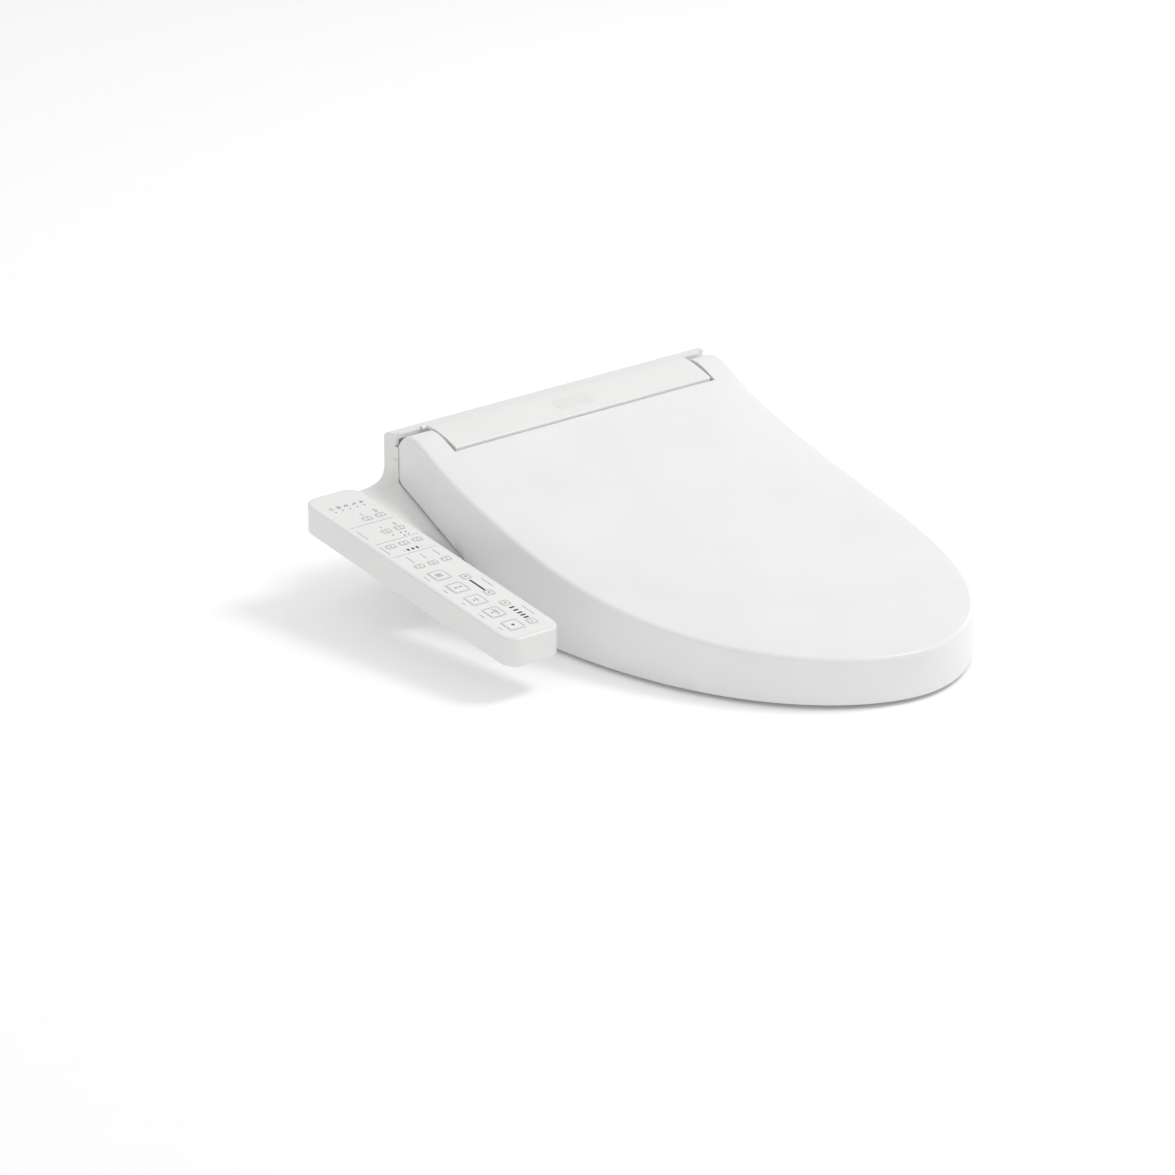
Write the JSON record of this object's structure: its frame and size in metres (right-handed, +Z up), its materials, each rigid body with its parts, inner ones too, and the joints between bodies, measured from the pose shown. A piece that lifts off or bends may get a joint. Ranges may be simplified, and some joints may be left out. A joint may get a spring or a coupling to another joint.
{
  "type": "electric bidet seat",
  "caption": "Electric bidet toilet seat with hinged lid and heated seat ring, rear water and dryer unit, telescoping wand and side control arm.",
  "frame": {"origin": "midway between the two bowl bolts, on the plane of the bowl's rim", "axes": "+X to the right seen from the front (seated user's left), +Y back to the tank, +Z up"},
  "size_m": [0.4835, 0.53, 0.147],
  "materials": {
    "case_plastic": "glossy moulded",
    "trim_plastic": "glossy moulded",
    "lid_plastic": "satin moulded",
    "seat_plastic": "glossy moulded",
    "label_film": "matte",
    "panel_film": "matte",
    "key_film": "matte",
    "lens": "clear",
    "inner_plastic": "moulded",
    "circuit_board": "solder resist",
    "motor_metal": "zinc plated",
    "steel": "plated",
    "brass_plated": "plated",
    "rubber": "matte",
    "foil": "foil"
  },
  "bodies": {
    "base": {"base_plate": "inner_plastic"},
    "main_unit": {"lower_case": "case_plastic", "upper_case": "case_plastic", "top_cover": "case_plastic", "front_panel": "trim_plastic", "label_plate": "label_film", "arm_cover": "case_plastic", "arm_lower_case": "case_plastic", "arm_screws": "steel", "panel_overlay": "panel_film", "indicator_lenses": "lens", "control_board": "circuit_board", "wand_guide": "inner_plastic", "wand_motor": "motor_metal", "blower_housing": "inner_plastic", "blower_motor": "motor_metal", "dryer_duct": "inner_plastic", "dryer_heater": "steel", "water_tank": "inner_plastic", "tank_heater": "steel", "solenoid_valve": "motor_metal", "inlet_fitting": "brass_plated", "power_board": "circuit_board", "cord_gland": "rubber", "hinge_dampers": "motor_metal"},
    "release_button": {"release_button": "trim_plastic"},
    "wand": {"wand": "inner_plastic", "wand_tip": "trim_plastic"},
    "wand_pinion": {"wand_pinion": "inner_plastic"},
    "blower_fan": {"blower_fan": "inner_plastic"},
    "dryer_flap": {"dryer_flap": "trim_plastic"},
    "drain_plug": {"drain_plug": "trim_plastic"},
    "deodorizer_filter": {"deodorizer_filter": "trim_plastic"},
    "seat": {"seat_top": "seat_plastic", "seat_bottom": "seat_plastic", "seat_heater": "foil", "seat_bumpers": "rubber", "seat_hinge_shaft": "steel"},
    "lid": {"lid": "lid_plastic", "lid_bumpers": "rubber", "lid_hinge_shaft": "steel"},
    "key_dryer": {"key_dryer": "key_film"},
    "key_front_wash": {"key_front_wash": "key_film"},
    "key_soft_wash": {"key_soft_wash": "key_film"},
    "key_rear_wash": {"key_rear_wash": "key_film"},
    "key_stop": {"key_stop": "key_film"},
    "key_position_back": {"key_position_back": "key_film"},
    "key_position_front": {"key_position_front": "key_film"},
    "key_pressure_plus": {"key_pressure_plus": "key_film"},
    "key_pressure_minus": {"key_pressure_minus": "key_film"},
    "key_setting_1": {"key_setting_1": "key_film"},
    "key_setting_2": {"key_setting_2": "key_film"},
    "key_setting_3": {"key_setting_3": "key_film"},
    "key_setting_4": {"key_setting_4": "key_film"},
    "key_setting_5": {"key_setting_5": "key_film"},
    "key_setting_6": {"key_setting_6": "key_film"},
    "key_setting_7": {"key_setting_7": "key_film"},
    "key_setting_8": {"key_setting_8": "key_film"},
    "key_setting_9": {"key_setting_9": "key_film"},
    "key_setting_10": {"key_setting_10": "key_film"}
  },
  "joints": [
    {"name": "unit_slide", "type": "slide", "parent": "base", "child": "main_unit", "axis": [0, -1, 0], "range_m": [0, 0.07]},
    {"name": "release_press", "type": "slide", "parent": "main_unit", "child": "release_button", "axis": [-1, 0, 0], "range_m": [0, 0.006], "stiffness_N_per_m": 800},
    {"name": "seat_hinge", "type": "hinge", "parent": "main_unit", "child": "seat", "pos_m": [0, 0.019, 0.124], "axis": [-1, 0, 0], "range_deg": [0, 98]},
    {"name": "lid_hinge", "type": "hinge", "parent": "seat", "child": "lid", "pos_m": [0, 0.019, 0.124], "axis": [1, 0, 0], "range_deg": [-106, 0]},
    {"name": "wand_slide", "type": "slide", "parent": "main_unit", "child": "wand", "axis": [0, -0.8192, -0.5736], "range_m": [0, 0.075]},
    {"name": "pinion_spin", "type": "hinge", "parent": "main_unit", "child": "wand_pinion", "pos_m": [0, -0.03379, 0.04775], "axis": [1, 0, 0], "range_deg": [-540, 0]},
    {"name": "fan_spin", "type": "hinge", "parent": "main_unit", "child": "blower_fan", "pos_m": [0.068, 0.016, 0.062], "axis": [1, 0, 0], "continuous": true},
    {"name": "flap_swing", "type": "hinge", "parent": "main_unit", "child": "dryer_flap", "pos_m": [0.07, -0.0496, 0.046], "axis": [-1, 0, 0], "range_deg": [0, 60], "stiffness_Nm_per_rad": 0.002, "springref_deg": -17.19},
    {"name": "drain_turn", "type": "hinge", "parent": "main_unit", "child": "drain_plug", "pos_m": [0.168, -0.004, 0.02], "axis": [0, 0, -1], "range_deg": [0, 90]},
    {"name": "filter_slide", "type": "slide", "parent": "main_unit", "child": "deodorizer_filter", "axis": [1, 0, 0], "range_m": [0, 0.06]},
    {"name": "press_dryer", "type": "slide", "parent": "main_unit", "child": "key_dryer", "axis": [0, 0.1454, -0.9894], "range_m": [0, 0.0005], "stiffness_N_per_m": 1500},
    {"name": "press_front_wash", "type": "slide", "parent": "main_unit", "child": "key_front_wash", "axis": [0, 0.1454, -0.9894], "range_m": [0, 0.0005], "stiffness_N_per_m": 1500},
    {"name": "press_soft_wash", "type": "slide", "parent": "main_unit", "child": "key_soft_wash", "axis": [0, 0.1454, -0.9894], "range_m": [0, 0.0005], "stiffness_N_per_m": 1500},
    {"name": "press_rear_wash", "type": "slide", "parent": "main_unit", "child": "key_rear_wash", "axis": [0, 0.1454, -0.9894], "range_m": [0, 0.0005], "stiffness_N_per_m": 1500},
    {"name": "press_stop", "type": "slide", "parent": "main_unit", "child": "key_stop", "axis": [0, 0.1454, -0.9894], "range_m": [0, 0.0005], "stiffness_N_per_m": 1500},
    {"name": "press_position_back", "type": "slide", "parent": "main_unit", "child": "key_position_back", "axis": [0, 0.1454, -0.9894], "range_m": [0, 0.0005], "stiffness_N_per_m": 1500},
    {"name": "press_position_front", "type": "slide", "parent": "main_unit", "child": "key_position_front", "axis": [0, 0.1454, -0.9894], "range_m": [0, 0.0005], "stiffness_N_per_m": 1500},
    {"name": "press_pressure_plus", "type": "slide", "parent": "main_unit", "child": "key_pressure_plus", "axis": [0, 0.1454, -0.9894], "range_m": [0, 0.0005], "stiffness_N_per_m": 1500},
    {"name": "press_pressure_minus", "type": "slide", "parent": "main_unit", "child": "key_pressure_minus", "axis": [0, 0.1454, -0.9894], "range_m": [0, 0.0005], "stiffness_N_per_m": 1500},
    {"name": "press_setting_1", "type": "slide", "parent": "main_unit", "child": "key_setting_1", "axis": [0, 0.1454, -0.9894], "range_m": [0, 0.0005], "stiffness_N_per_m": 1500},
    {"name": "press_setting_2", "type": "slide", "parent": "main_unit", "child": "key_setting_2", "axis": [0, 0.1454, -0.9894], "range_m": [0, 0.0005], "stiffness_N_per_m": 1500},
    {"name": "press_setting_3", "type": "slide", "parent": "main_unit", "child": "key_setting_3", "axis": [0, 0.1454, -0.9894], "range_m": [0, 0.0005], "stiffness_N_per_m": 1500},
    {"name": "press_setting_4", "type": "slide", "parent": "main_unit", "child": "key_setting_4", "axis": [0, 0.1454, -0.9894], "range_m": [0, 0.0005], "stiffness_N_per_m": 1500},
    {"name": "press_setting_5", "type": "slide", "parent": "main_unit", "child": "key_setting_5", "axis": [0, 0.1454, -0.9894], "range_m": [0, 0.0005], "stiffness_N_per_m": 1500},
    {"name": "press_setting_6", "type": "slide", "parent": "main_unit", "child": "key_setting_6", "axis": [0, 0.1454, -0.9894], "range_m": [0, 0.0005], "stiffness_N_per_m": 1500},
    {"name": "press_setting_7", "type": "slide", "parent": "main_unit", "child": "key_setting_7", "axis": [0, 0.1454, -0.9894], "range_m": [0, 0.0005], "stiffness_N_per_m": 1500},
    {"name": "press_setting_8", "type": "slide", "parent": "main_unit", "child": "key_setting_8", "axis": [0, 0.1454, -0.9894], "range_m": [0, 0.0005], "stiffness_N_per_m": 1500},
    {"name": "press_setting_9", "type": "slide", "parent": "main_unit", "child": "key_setting_9", "axis": [0, 0.1454, -0.9894], "range_m": [0, 0.0005], "stiffness_N_per_m": 1500},
    {"name": "press_setting_10", "type": "slide", "parent": "main_unit", "child": "key_setting_10", "axis": [0, 0.1454, -0.9894], "range_m": [0, 0.0005], "stiffness_N_per_m": 1500}
  ],
  "couplings": [
    {"joint": "pinion_spin", "follows": "wand_slide", "rad_per_m": -125}
  ]
}
